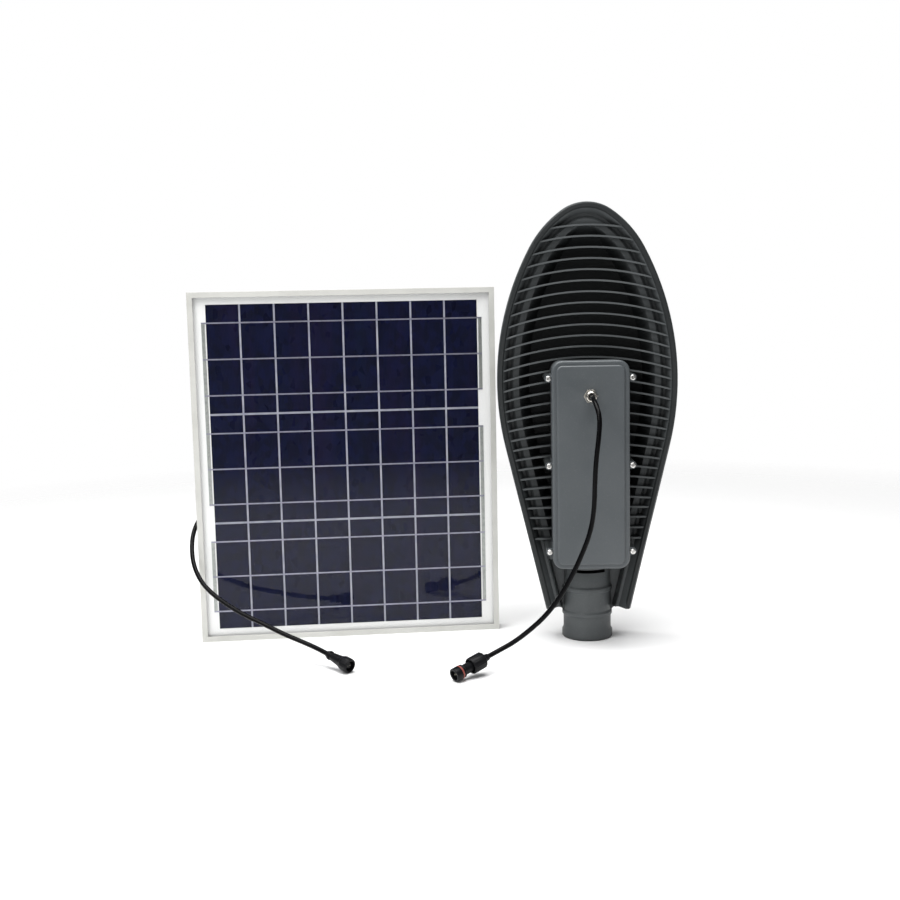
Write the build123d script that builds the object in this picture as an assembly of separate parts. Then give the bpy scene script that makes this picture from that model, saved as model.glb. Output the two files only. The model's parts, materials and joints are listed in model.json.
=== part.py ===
from build123d import *
import os
from math import asin, cos, pi, radians, sin, sqrt, tan

# Solar street lamp kit: a framed solar panel and a leaf-shaped lamp head that stands on its pole spigot.
# Millimetres. +Z is up, the floor is z = 0, the panel faces -Y, and the origin is the centre of the base.

# ---- Where the two units stand ----
PANEL_X = -125.0
PANEL_FRONT_Y = 63.0
HEAD_X = 218.6
HEAD_Y = 13.2
HEAD_YAW = -7.7

# ---- Solar panel: depths run backwards from the front face of the frame ----
PANEL_W = 440.0
PANEL_H = 510.0
FRAME_DEPTH = 28.0
FRAME_WALL = 1.6
FRAME_LIP = 8.0
LIP_T = 1.5
SLOT_END = 7.0
CHAMBER_W = 10.0
CHAMBER_END = 18.4
FLANGE_W = 22.0
FLANGE_HOLE_R = 3.5
FLANGE_HOLE_INSET = 13.0
FLANGE_HOLE_SPACING = 260.0
KEY_LEG = 34.0

LAMINATE_INSET = 2.4
GLASS_Y = (2.0, 5.2)
FRONT_FILM_Y = (5.2, 5.5)
TAB_Y = (5.5, 5.7)
CELL_Y = (5.7, 5.95)
REAR_FILM_Y = (5.95, 6.2)
BACKSHEET_Y = (6.2, 6.5)

CELL_COLUMNS = 8
CELL_ROWS = 3
CELL_H = 156.0
CELL_W = 46.4
COLUMN_GAP = 2.6
ROW_GAP = 3.0
TAB_W = 2.0
TAB_PITCH = 52.0
BUS_W = 5.0
BUS_GAP = 1.8

BOX_X = -78.0
BOX_Z = 352.0
BOX_W = 92.0
BOX_H = 72.0
BOX_TUB_END = 20.0
BOX_LID_Y = (20.3, 24.3)
BOX_WALL = 2.2
HINGE_R = 1.9
BOX_CABLE_X = -24.0
BOX_CABLE_Y = 15.0

# ---- Lamp head: heights run up from the foot, depths run rearwards from the spigot's axis ----
TIP_Z = 622.9
HEAD_ARCS = ((60.3, 35.1), (148.3, 26.9), (397.5, 41.3))  # radius, turn: tip, shoulder and flank
SKIRT_Z = 46.0
RIM_REAR = 30.5
FACE_FRONT = -20.0
FLOOR = (-9.0, -4.0)
VALLEY_INSET = 15.5
VALLEY_DEPTH = 16.0
RIDGE_INSET = (18.5, 23.0)
RIDGE_DEPTH = 20.5
BOWL_INSET = (31.0, 46.0)
TIP_RAMP_Z = (535.0, 593.5)
TIP_RAMP_R = 81.17
BOWL_FOOT_Z = 124.0
FOOT_POCKET_INSET = (20.0, 24.0)
FOOT_POCKET_FLOOR = (1.5, 5.0)

FIN_COUNT = 30
FIN_TOP_Z = 591.3
FIN_PITCH = 15.25
FIN_T = 2.4
FIN_FRONT = 27.0
FIN_INSET = 9.0
FIN_TOP_CURVATURE = 0.0036
FIN_STRAIGHT_Z = 190.0
FIN_CURVED_RISE = 400.0

TUB_W = 103.0
TUB_H = 285.0
TUB_Z = 262.0
TUB_WALL = 3.0
TUB_FLOOR = (8.0, 12.0)
TUB_REAR = 79.4
TUB_CORNER_R = 14.0
COVER_GASKET_T = 0.6
COVER_W = 106.0
COVER_H = 288.0
COVER_REAR = 91.0
COVER_CORNER_R = 15.5
COVER_EDGE_R = 3.0
COVER_STEP = 87.6
FIELD_INSET = 6.5
FIELD_EDGE_R = 2.6
COVER_SHELL = 3.0
LUG_X = 57.0
LUG_PITCH = 120.0
LUG_R = 5.2
LUG_T = 4.0
SCREW_R = 2.0
SCREW_HEAD_R = 3.9
SCREW_HEAD_H = 2.8
GLAND_Z = 358.0

BORE_R = 30.4
BORE_DEPTH = 86.0
SPIGOT_TOP = 119.5
# Spigot outline, height and radius: foot flange, lower tube, bead, upper tube, bead, neck.
SPIGOT_PROFILE = (
    (0.0, 35.4), (1.6, 36.6), (9.5, 36.6), (14.0, 34.4), (32.5, 34.4), (34.5, 36.2), (38.5, 36.2),
    (41.0, 34.4), (68.8, 34.4), (70.8, 36.4), (75.3, 36.4), (77.8, 33.8), (SPIGOT_TOP, 33.8),
)
WEB_R = 14.0
SLOT_W = 48.0
SLOT_H = 4.6
SLOT_Z = 101.5
WIRE_WAY_R = 18.0
WIRE_WAY_TOP = 112.0

BOLT_HEIGHTS = (26.0, 62.0)
BOLT_R = 4.0
BOLT_CLEARANCE = 0.1
BOLT_TIP = -31.2
BOLT_PAD = -38.0
BOLT_PAD_R = 9.0
BOLT_HEAD = (-45.0, -50.5)
BOLT_ACROSS_FLATS = 13.0

LEDGE_INSET = 8.0
POCKET_INSET = 11.0
GROOVE_INSET = 33.5
GROOVE_REAR = 11.5
GLASS_INSET = 8.6
WINDOW_FOOT_Z = 256.0
BAY_TOP_Z = 247.0
BAY_FOOT_Z = 122.0
BAY_HALF_W = 46.0
BAY_Z = (128.0, 242.0)
BAY_ROOF = 5.0
BAY_WALL = 3.5
GLASS_DEPTH = (-19.4, -16.4)
BEZEL_DEPTH = (-22.0, -20.0)
BEZEL_INSET = (2.0, 17.0)
LED_PITCH = 34.0
LED_ROW_PITCH = 40.0
LED_ROWS = (4, 4, 4, 4, 4, 3, 1)
LENS_R = 8.0
LENS_RISE = 3.2
LENS_SHEET = (-12.6, -11.6)
FACE_SCREW_R = 1.5

CELL_R = 16.0
BATTERY_CELL_LENGTH = 70.5
BATTERY_ROWS = (134.0, 210.0, 286.0)
BATTERY_PITCH = 32.2
BATTERY_DEPTH = 30.0

# ---- Cables: route points chosen by hand, from the fixed end to the connector ----
CABLE_D = 6.5
CORNER_SHARE = 0.45
PANEL_PLUG_NOSE = (-129.0, -117.0, 9.85)
PANEL_PLUG_AXIS = (-0.69, 0.69, 0.215)
PANEL_PLUG_LENGTH = 44.0
HEAD_PLUG_NOSE = (4.0, -173.5, 9.1)
HEAD_PLUG_AXIS = (0.823, 0.519, 0.232)
HEAD_PLUG_LENGTH = 58.0
CABLE_SEAT = 4.0

PANEL_ROUTE = [
    (-227.0, 78.0, 291.0), (-227.5, 78.5, 265.0), (-236.0, 83.0, 241.0), (-256.5, 91.5, 226.0),
    (-282.0, 98.5, 217.0), (-309.0, 103.0, 207.0), (-331.0, 105.0, 192.5), (-347.0, 99.5, 177.0),
    (-354.0, 85.0, 160.0), (-354.5, 66.0, 143.0), (-351.0, 47.0, 123.0), (-341.0, 28.0, 104.0),
    (-325.0, 12.5, 88.0), (-301.0, -2.0, 72.5), (-275.0, -15.0, 59.0), (-247.0, -30.5, 49.0),
    (-219.0, -47.0, 38.0), (-192.0, -61.0, 29.5), (-171.8, -74.2, 23.2), (-156.62, -89.38, 18.46),
]
HEAD_ROUTE = [
    (205.1, -87.0, 358.0), (202.9, -103.0, 358.0), (202.8, -124.0, 351.5), (205.0, -138.5, 334.0),
    (202.5, -142.0, 309.0), (199.0, -141.0, 280.0), (197.5, -139.5, 249.0), (197.0, -138.5, 217.0),
    (192.5, -137.5, 185.5), (181.5, -137.0, 156.0), (167.5, -137.0, 126.5), (149.5, -137.5, 96.0),
    (129.5, -136.5, 71.0), (108.5, -133.5, 52.0), (88.0, -131.5, 36.5), (66.5, -134.1, 26.7),
    (48.43, -145.48, 21.62),
]

nodes = {}


# ---- Helpers ----
def slab(x, y, z):
    """Box between two x, two y and two z values."""
    size = [abs(span[1] - span[0]) for span in (x, y, z)]
    middle = [(span[1] + span[0]) / 2 for span in (x, y, z)]
    return Pos(*middle) * Box(*size)


def ring_slab(half_w, half_h, y, outer, inner, centre_z):
    """Rectangular ring in the panel: outer and inner are distances in from the panel's edge."""
    z = (centre_z - half_h + outer, centre_z + half_h - outer)
    outside = slab((outer - half_w, half_w - outer), y, z)
    inside = slab((inner - half_w, half_w - inner), y, (centre_z - half_h + inner, centre_z + half_h - inner))
    return outside - inside


def turned(profile):
    """Solid of revolution about +Z from (height, radius) points."""
    points = [(0.0, profile[0][0])]
    points += [(radius, height) for height, radius in profile]
    points += [(0.0, profile[-1][0])]
    section = make_face(Plane.XZ * Polyline(*points, close=True))
    return revolve(section, Axis.Z)


def along(start, direction):
    """Plane at a point whose normal is a direction, for parts turned about that line."""
    return Plane(origin=start, z_dir=direction)


def hex_prism(across_flats, height):
    """Hexagonal prism standing on z = 0."""
    return extrude(RegularPolygon(across_flats / 2, 6, major_radius=False), height)


def panel_place(shape):
    return Pos(PANEL_X, PANEL_FRONT_Y, 0) * shape


def head_place(shape):
    return Pos(HEAD_X, HEAD_Y, 0) * Rot(0, 0, HEAD_YAW) * shape


def save(name, shape):
    """Keep a sub-part as one solid or a group of separate solids."""
    nodes[name] = Compound(children=list(shape.solids())) if len(shape.solids()) > 1 else shape.solids()[0]


def corner_radii(points):
    """Arc at each corner: a share of the shorter run over the tangent of half the turn."""
    radii = []
    for before, corner, after in zip(points, points[1:], points[2:]):
        arriving = Vector(*corner) - Vector(*before)
        leaving = Vector(*after) - Vector(*corner)
        turn = radians(arriving.get_angle(leaving))
        radii.append(CORNER_SHARE * min(arriving.length, leaving.length) / tan(turn / 2))
    return radii


def cable(name, points):
    """Cable tube along straight runs joined by tangent arcs."""
    radii = corner_radii(points)
    route = FilletPolyline(*points, radius=radii)
    start = Vector(*points[1]) - Vector(*points[0])
    tube = sweep(Plane(origin=points[0], z_dir=start) * Circle(CABLE_D / 2), path=route)
    expected = route.length * pi * (CABLE_D / 2) ** 2
    print(name, "length", round(route.length, 1), "volume ratio", round(tube.volume / expected, 5))
    print(name, "radii", [round(r) for r in radii])
    return tube


# ---- Solar panel ----
def rail(length):
    """One mitred frame rail along X, its outer face on z = 0 and its front lip on y = 0."""
    outside = [
        (0, 0), (0, FRAME_LIP), (LIP_T, FRAME_LIP), (LIP_T, FRAME_WALL), (SLOT_END, FRAME_WALL),
        (SLOT_END, CHAMBER_W), (CHAMBER_END, CHAMBER_W), (CHAMBER_END, FRAME_WALL),
        (FRAME_DEPTH - FRAME_WALL, FRAME_WALL), (FRAME_DEPTH - FRAME_WALL, FLANGE_W),
        (FRAME_DEPTH, FLANGE_W), (FRAME_DEPTH, 0),
    ]
    wall = FRAME_WALL - 0.2
    chamber = [
        (SLOT_END + wall, FRAME_WALL), (SLOT_END + wall, CHAMBER_W - wall),
        (CHAMBER_END - wall, CHAMBER_W - wall), (CHAMBER_END - wall, FRAME_WALL),
    ]
    section = make_face(Polyline(*outside, close=True)) - make_face(Polyline(*chamber, close=True))
    bar = extrude(Plane.YZ.offset(-length / 2) * section, length)
    reach = FLANGE_W + 5.0
    ends = Polyline(
        (-length / 2, 0), (length / 2, 0), (length / 2 - reach, reach), (reach - length / 2, reach), close=True
    )
    wedge = extrude(Plane.XZ * make_face(ends), -FRAME_DEPTH - 1.0)
    return bar & wedge


def frame_rails():
    """Four rails; the side rails carry the mounting holes in their rear flange."""
    holes = Rot(90, 0, 0) * Cylinder(FLANGE_HOLE_R, 4 * FRAME_DEPTH)
    side = rail(PANEL_H)
    for x in (-FLANGE_HOLE_SPACING / 2, FLANGE_HOLE_SPACING / 2):
        flange_only = holes & slab((-9, 9), (FRAME_DEPTH - 5, FRAME_DEPTH + 5), (-9, 9))
        side -= Pos(x, 0, FLANGE_HOLE_INSET) * flange_only
    middle = PANEL_H / 2
    save("frame_bottom_rail", panel_place(rail(PANEL_W)))
    save("frame_top_rail", panel_place(Pos(0, 0, PANEL_H) * Rot(0, 180, 0) * rail(PANEL_W)))
    save("frame_left_rail", panel_place(Pos(-PANEL_W / 2, 0, middle) * Rot(0, 90, 0) * side))
    save("frame_right_rail", panel_place(Pos(PANEL_W / 2, 0, middle) * Rot(0, -90, 0) * side))


def corner_keys():
    """L-shaped keys that hold the mitred corners together, inside the rails' chambers."""
    low, high = FRAME_WALL + 0.1, CHAMBER_W - FRAME_WALL + 0.1
    depth = (SLOT_END + 1.5, CHAMBER_END - 1.5)
    key = slab((low, KEY_LEG), depth, (low, high)) + slab((low, high), depth, (low, KEY_LEG))
    corner = Pos(-PANEL_W / 2, 0, 0) * key
    pair = [corner, mirror(corner, about=Plane.YZ)]
    upper = [Pos(0, 0, PANEL_H) * mirror(one, about=Plane.XY) for one in pair]
    save("frame_corner_keys", panel_place(Compound(children=pair + upper)))


def laminate():
    """Glass, films, cells, ribbons and backsheet, held in the frame by an edge seal."""
    half_w, half_h, middle = PANEL_W / 2, PANEL_H / 2, PANEL_H / 2
    span_x = (LAMINATE_INSET - half_w, half_w - LAMINATE_INSET)
    span_z = (LAMINATE_INSET, PANEL_H - LAMINATE_INSET)
    save("panel_glass", panel_place(slab(span_x, GLASS_Y, span_z)))
    save("panel_backsheet", panel_place(slab(span_x, BACKSHEET_Y, span_z)))
    films = [slab(span_x, FRONT_FILM_Y, span_z), slab(span_x, REAR_FILM_Y, span_z)]
    save("encapsulant_films", panel_place(Compound(children=films)))
    seal = ring_slab(half_w, half_h, (LIP_T, SLOT_END), FRAME_WALL, FRAME_LIP - 1.0, middle)
    seal -= slab(span_x, (GLASS_Y[0], BACKSHEET_Y[1]), span_z)
    save("panel_edge_seal", panel_place(seal))

    column_pitch, row_pitch = CELL_W + COLUMN_GAP, CELL_H + ROW_GAP
    cells = []
    tabs = []
    edge = (CELL_COLUMNS * column_pitch - COLUMN_GAP) / 2
    reach = edge + BUS_GAP + BUS_W
    for row in range(CELL_ROWS):
        z = middle + (row - (CELL_ROWS - 1) / 2) * row_pitch
        for column in range(CELL_COLUMNS):
            x = (column - (CELL_COLUMNS - 1) / 2) * column_pitch
            cells.append(slab((x - CELL_W / 2, x + CELL_W / 2), CELL_Y, (z - CELL_H / 2, z + CELL_H / 2)))
        for step in (-1, 0, 1):
            at = z + step * TAB_PITCH
            tabs.append(slab((-reach, reach), TAB_Y, (at - TAB_W / 2, at + TAB_W / 2)))
    save("solar_cells", panel_place(Compound(children=cells)))
    save("cell_ribbons", panel_place(Compound(children=tabs)))

    # On the left the top two strings share one ribbon; on the right each string has its own.
    half_tab = TAB_W / 2
    strings = [middle + (row - 1) * row_pitch for row in range(CELL_ROWS)]
    low, mid, high = strings
    left = (-reach, -reach + BUS_W)
    right = (reach - BUS_W, reach)
    ends = [
        (left, low - TAB_PITCH, low + TAB_PITCH), (left, mid - TAB_PITCH, high + TAB_PITCH),
        (right, low - TAB_PITCH, mid + TAB_PITCH), (right, high - TAB_PITCH, high + TAB_PITCH),
    ]
    bus_y = (CELL_Y[0], REAR_FILM_Y[0])
    buses = [slab(x, bus_y, (bottom - half_tab, top + half_tab)) for x, bottom, top in ends]
    save("bus_ribbons", panel_place(Compound(children=buses)))


def junction_box():
    """Junction box on the backsheet: tub, hinged lid, terminals, diode and cable gland."""
    y0 = BACKSHEET_Y[1]
    x = (BOX_X - BOX_W / 2, BOX_X + BOX_W / 2)
    z = (BOX_Z - BOX_H / 2, BOX_Z + BOX_H / 2)
    tub = slab(x, (y0, BOX_TUB_END), z)
    tub = fillet(tub.edges().filter_by(Axis.Y), 5.0)
    inner_x = (x[0] + BOX_WALL, x[1] - BOX_WALL)
    inner_z = (z[0] + BOX_WALL, z[1] - BOX_WALL)
    tub -= slab(inner_x, (y0 + BOX_WALL, BOX_TUB_END + 1), inner_z)
    cable_hole = Pos(BOX_X + BOX_CABLE_X, BOX_CABLE_Y, z[0]) * Cylinder(4.6, 12)
    tub -= cable_hole
    # Two hinge ears above the top wall hold the lid's pin between them.
    hinge_y, hinge_z = sum(BOX_LID_Y) / 2 - 0.4, z[1] + 3.4
    for side in (-1, 1):
        ear_x = BOX_X + side * 30.0
        ear = slab((ear_x - 2, ear_x + 2), (BOX_TUB_END - 6, hinge_y), (z[1] - 1, hinge_z + 2.6))
        ear += Pos(ear_x, hinge_y, hinge_z) * Rot(0, 90, 0) * Cylinder(2.6, 4)
        ear -= Pos(ear_x, hinge_y, hinge_z) * Rot(0, 90, 0) * Cylinder(HINGE_R + 0.06, 5)
        tub += ear
    save("junction_box_base", panel_place(tub))

    lid = slab(x, BOX_LID_Y, z)
    lid = fillet(lid.edges().filter_by(Axis.Y), 5.0)
    lid = fillet(lid.faces().sort_by(Axis.Y)[-1].edges(), 1.0)
    for side in (-1, 1):
        ear_x = BOX_X + side * 30.0
        lid -= slab((ear_x - 2.4, ear_x + 2.4), (0, 40), (z[1] - 1.5, z[1] + 1))
    hollow_x = (inner_x[0] + 2, inner_x[1] - 2)
    hollow_z = (inner_z[0] + 2, inner_z[1] - 2)
    lid -= slab(hollow_x, (BOX_LID_Y[0] - 1, BOX_LID_Y[1] - 1.8), hollow_z)
    arm_z = (z[1] - 3, hinge_z)
    lid += slab((BOX_X - 27, BOX_X + 27), (hinge_y - 0.4, hinge_y + 1.6), arm_z)
    lid += Pos(BOX_X, hinge_y, hinge_z) * Rot(0, 90, 0) * Cylinder(HINGE_R, 64)
    save("junction_box_lid", panel_place(lid))
    rib = ring_slab(BOX_W / 2 - 4.6, BOX_H / 2 - 4.6, (BOX_LID_Y[0] + 0.3, BOX_LID_Y[1] - 1.8), 0, 1.6, BOX_Z)
    save("junction_box_seal", panel_place(Pos(BOX_X, 0, 0) * rib))

    clips = []
    for step in (-1, 0, 1):
        cx = BOX_X + 22.0 * step
        clip = slab((cx - 6, cx + 6), (y0 + BOX_WALL, y0 + BOX_WALL + 1), (BOX_Z - 8, BOX_Z + 16))
        clip += slab((cx - 4, cx + 4), (y0 + BOX_WALL, y0 + BOX_WALL + 6), (BOX_Z - 9, BOX_Z - 8))
        clips.append(clip)
    save("junction_box_terminals", panel_place(Compound(children=clips)))
    body = Rot(0, 90, 0) * Cylinder(2.6, 9)
    lead = Rot(0, 90, 0) * Cylinder(0.6, 22)
    save("bypass_diode", panel_place(Pos(BOX_X + 11, y0 + BOX_WALL + 3.7, BOX_Z + 8) * (body + lead)))

    gland = Pos(0, 0, -14.5) * Cylinder(6.6, 14.5, align=(Align.CENTER, Align.CENTER, Align.MIN))
    gland += Pos(0, 0, -6.5) * hex_prism(14.0, 6.5)
    gland -= Cylinder(CABLE_D / 2 + 0.9, 60)
    where = Pos(BOX_X + BOX_CABLE_X, BOX_CABLE_Y, z[0])
    save("junction_box_gland", panel_place(where * gland))
    grommet = Pos(0, 0, -12) * (Cylinder(CABLE_D / 2 + 0.8, 10) - Cylinder(CABLE_D / 2 + 0.1, 12))
    save("junction_box_grommet", panel_place(where * grommet))


# ---- Lamp head: sketches lie on planes that face the rear ----
def at_depth(depth):
    return Plane.XZ.offset(depth)


def head_outline(inset, foot):
    """Leaf outline moved in by an inset and cut level at a foot height."""
    right = []
    left = []
    x, z, heading = 0.0, TIP_Z - inset, 0.0
    for radius, turn in HEAD_ARCS:
        r = radius - inset
        ends = []
        for angle in (heading + turn / 2, heading + turn):
            ends.append((
                x + r * (sin(radians(angle)) - sin(radians(heading))),
                z - r * (cos(radians(heading)) - cos(radians(angle))),
            ))
        right.append(ThreePointArc((x, z), *ends))
        left.append(ThreePointArc((-x, z), *[(-px, pz) for px, pz in ends]))
        x, z = ends[-1]
        heading += turn
    taper = radians(heading)
    end = (x + (z - foot) / tan(taper), foot)
    right.append(Line((x, z), end))
    left.append(Line((-x, z), (-end[0], foot)))
    return make_face(right + [Line(end, (-end[0], foot))] + left)


def band(inset_a, depth_a, inset_b, depth_b, foot=SKIRT_Z):
    """Solid between two insets of the leaf outline at two depths."""
    near = at_depth(depth_a) * head_outline(inset_a, foot)
    far = at_depth(depth_b) * head_outline(inset_b, foot)
    return loft([near, far], ruled=True)


def plate(inset, depth, foot=SKIRT_Z):
    """Leaf-shaped plate of constant inset between two depths."""
    return extrude(at_depth(depth[0]) * head_outline(inset, foot), depth[1] - depth[0])


def tray(width, height, depth, corner_r, centre_z=TUB_Z):
    """Rounded rectangular block on the head's middle line."""
    sketch = at_depth(depth[0]) * Pos(0, centre_z) * RectangleRounded(width, height, corner_r)
    return extrude(sketch, depth[1] - depth[0])


def rearward(x, z, depth):
    """Place for a part whose own +Z is the head's rearward direction."""
    return Plane(origin=(x, -depth, z), x_dir=(1, 0, 0), z_dir=(0, -1, 0))


def fin(index):
    """One cross fin, an arc that bows towards the tip and straightens towards the foot."""
    z = FIN_TOP_Z - index * FIN_PITCH
    rise = max(0.0, (z - FIN_STRAIGHT_Z) / FIN_CURVED_RISE)
    half = 125.0
    drop = FIN_TOP_CURVATURE * sqrt(rise) * half ** 2 / 2
    if drop < 1.0:
        section = Pos(0, z) * Rectangle(2 * half, FIN_T)
    else:
        edges = []
        for top in (z + FIN_T / 2, z - FIN_T / 2):
            edges.append(ThreePointArc((-half, top - drop), (0, top), (half, top - drop)))
        for side in (-half, half):
            edges.append(Line((side, z + FIN_T / 2 - drop), (side, z - FIN_T / 2 - drop)))
        section = make_face(edges)
    return extrude(at_depth(FLOOR[1] - 1) * section, FIN_FRONT - FLOOR[1] + 1)


def spigot():
    """Spigot tube with its foot flange, two beads and a slanted end on the lamp's face side."""
    tube = turned(SPIGOT_PROFILE)
    top = SPIGOT_TOP + 1
    slant = Polyline((-FACE_FRONT - 1.5, top), (60, top), (60, 84), (37, 84), close=True)
    tube -= Pos(-60, 0, 0) * extrude(Plane.YZ * make_face(slant), 120)
    return tube


def housing_shell():
    """Rim, valley, ridge and bowl, as nested bands of the leaf outline."""
    shell = band(2.0, FACE_FRONT, 0.0, -15.0) + plate(0.0, (-15.0, 25.5)) + band(0.0, 25.5, 2.6, RIM_REAR)
    shell -= band(VALLEY_INSET, VALLEY_DEPTH, 7.0, RIM_REAR + 0.1, foot=SKIRT_Z - 8)
    shell += band(RIDGE_INSET[0], VALLEY_DEPTH - 0.5, RIDGE_INSET[1], RIDGE_DEPTH)
    shell -= band(BOWL_INSET[1], FLOOR[1], BOWL_INSET[0], RIDGE_DEPTH + 0.1, foot=BOWL_FOOT_Z)
    shallow, deep = FOOT_POCKET_INSET
    beside_tube = band(deep, FOOT_POCKET_FLOOR[1], shallow, RIDGE_DEPTH + 0.1, foot=SKIRT_Z - 8)
    shell -= beside_tube & slab((-100, 100), (-60, 60), (0, BAY_FOOT_Z - 4))
    return shell + tip_ramp()


def tip_ramp():
    """Concave ramp from the bowl's floor up to the ridge at the tip."""
    low, high = TIP_RAMP_Z
    middle = asin((high - low) / TIP_RAMP_R) / 2
    centre = -FLOOR[1] - TIP_RAMP_R
    half_way = (centre + TIP_RAMP_R * cos(middle), low + TIP_RAMP_R * sin(middle))
    top = (centre + TIP_RAMP_R * cos(2 * middle), high)
    edges = [
        ThreePointArc((-FLOOR[1], low), half_way, top), Line(top, (1 - FLOOR[1], high)),
        Line((1 - FLOOR[1], high), (1 - FLOOR[1], low)), Line((1 - FLOOR[1], low), (-FLOOR[1], low)),
    ]
    ramp = Pos(-80, 0, 0) * extrude(Plane.YZ * make_face(edges), 160)
    return ramp & plate(BOWL_INSET[0] - 1, (FLOOR[1] - 1, RIDGE_DEPTH))


def front_pockets():
    """Hollows on the LED side: glass ledge, LED pocket, groove under the ridge, driver bay and skirt."""
    low = FACE_FRONT - 1
    ledge = plate(LEDGE_INSET, (low, GLASS_DEPTH[1] + 0.6), foot=WINDOW_FOOT_Z - 3)
    hollow = plate(POCKET_INSET, (low, FLOOR[0]), foot=BAY_FOOT_Z)
    groove = plate(POCKET_INSET, (FLOOR[0] - 1, GROOVE_REAR), foot=BAY_FOOT_Z)
    hollow += groove - plate(GROOVE_INSET, (FLOOR[0] - 2, GROOVE_REAR + 1), foot=BAY_FOOT_Z - 5)
    hollow -= slab((-200, 200), (-60, 60), (BAY_TOP_Z, WINDOW_FOOT_Z))
    bay = slab((-BAY_HALF_W, BAY_HALF_W), (-BAY_ROOF, -low), BAY_Z)
    skirt = plate(6.0, (low, FOOT_POCKET_FLOOR[0]), foot=SKIRT_Z + 4)
    side_groove = plate(6.0, (FOOT_POCKET_FLOOR[0] - 1, GROOVE_REAR), foot=SKIRT_Z + 4)
    skirt += side_groove - plate(FOOT_POCKET_INSET[0] - 2, (0, GROOVE_REAR + 1), foot=SKIRT_Z)
    skirt -= slab((-200, 200), (-60, 60), (BAY_FOOT_Z - 5, 700))
    return ledge + hollow + bay + skirt


def lug_spots():
    """Screw places beside the battery box: three down each side."""
    return [(side * LUG_X, TUB_Z + step * LUG_PITCH) for side in (-1, 1) for step in (-1, 0, 1)]


def head_housing():
    """One casting: shell, fins, box tub, spigot, webs, screw bosses and bolt pads."""
    shell = housing_shell()
    fins = Part() + [fin(index) for index in range(FIN_COUNT)]
    shell += fins & plate(FIN_INSET, (FLOOR[1] - 0.5, FIN_FRONT))
    shell += tray(TUB_W, TUB_H, (TUB_FLOOR[0], TUB_REAR), TUB_CORNER_R)
    bay_x = (-BAY_HALF_W - BAY_WALL, BAY_HALF_W + BAY_WALL)
    shell += slab(bay_x, (-TUB_FLOOR[0] - 0.5, -FLOOR[0]), (BAY_Z[0] - BAY_WALL, BAY_Z[1] + BAY_WALL))
    for x, z in lug_spots():
        rib_x = sorted((x, x * 0.88))
        shell += extrude(rearward(x, z, 0) * Circle(LUG_R), TUB_REAR)
        shell += slab(rib_x, (-TUB_REAR, 0), (z - LUG_R, z + LUG_R))
    shell -= front_pockets()
    tub_inside = (TUB_W - 2 * TUB_WALL, TUB_H - 2 * TUB_WALL)
    shell -= tray(*tub_inside, (TUB_FLOOR[1], TUB_REAR + 1), TUB_CORNER_R - TUB_WALL)
    for x, z in lug_spots():
        shell -= extrude(rearward(x, z, TUB_REAR - 14) * Circle(SCREW_R + 0.05), 15)
    for x, z in bezel_spots() + bay_spots():
        shell -= extrude(rearward(x, z, FACE_FRONT - 1) * Circle(FACE_SCREW_R + 0.05), 6)

    # The skirt's lower corners sweep down into the spigot.
    reach = SPIGOT_PROFILE[4][1] - 1.5
    web = Rectangle(2 * (reach + WEB_R), WEB_R + 6, align=(Align.CENTER, Align.MIN))
    web = Pos(0, SKIRT_Z - WEB_R) * web
    for side in (-1, 1):
        web -= Pos(side * (reach + WEB_R), SKIRT_Z - WEB_R) * Circle(WEB_R)
    shell += extrude(at_depth(-9.0) * web, 9.0 + FOOT_POCKET_FLOOR[1])
    shell += spigot()
    for height in BOLT_HEIGHTS:
        shell += Plane(origin=(0, 28, height), z_dir=(0, 1, 0)) * extrude(Circle(BOLT_PAD_R), -BOLT_PAD - 28)

    # Bore for the pole, the wire way above it and the slot that opens it to the rear.
    upright = (Align.CENTER, Align.CENTER, Align.MIN)
    shell -= Cylinder(BORE_R, BORE_DEPTH, align=upright)
    shell -= Pos(0, -5, BORE_DEPTH - 1) * Cylinder(WIRE_WAY_R, WIRE_WAY_TOP - BORE_DEPTH + 1, align=upright)
    shell -= slab((-SLOT_W / 2, SLOT_W / 2), (-45, -15), (SLOT_Z - SLOT_H / 2, SLOT_Z + SLOT_H / 2))
    shell -= Pos(0, -20, SLOT_Z) * Cylinder(6.0, 20.0, align=upright)
    for height in BOLT_HEIGHTS:
        shell -= Plane(origin=(0, 20, height), z_dir=(0, 1, 0)) * extrude(Circle(BOLT_R + BOLT_CLEARANCE), 30)
    save("head_housing", head_place(shell))


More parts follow.
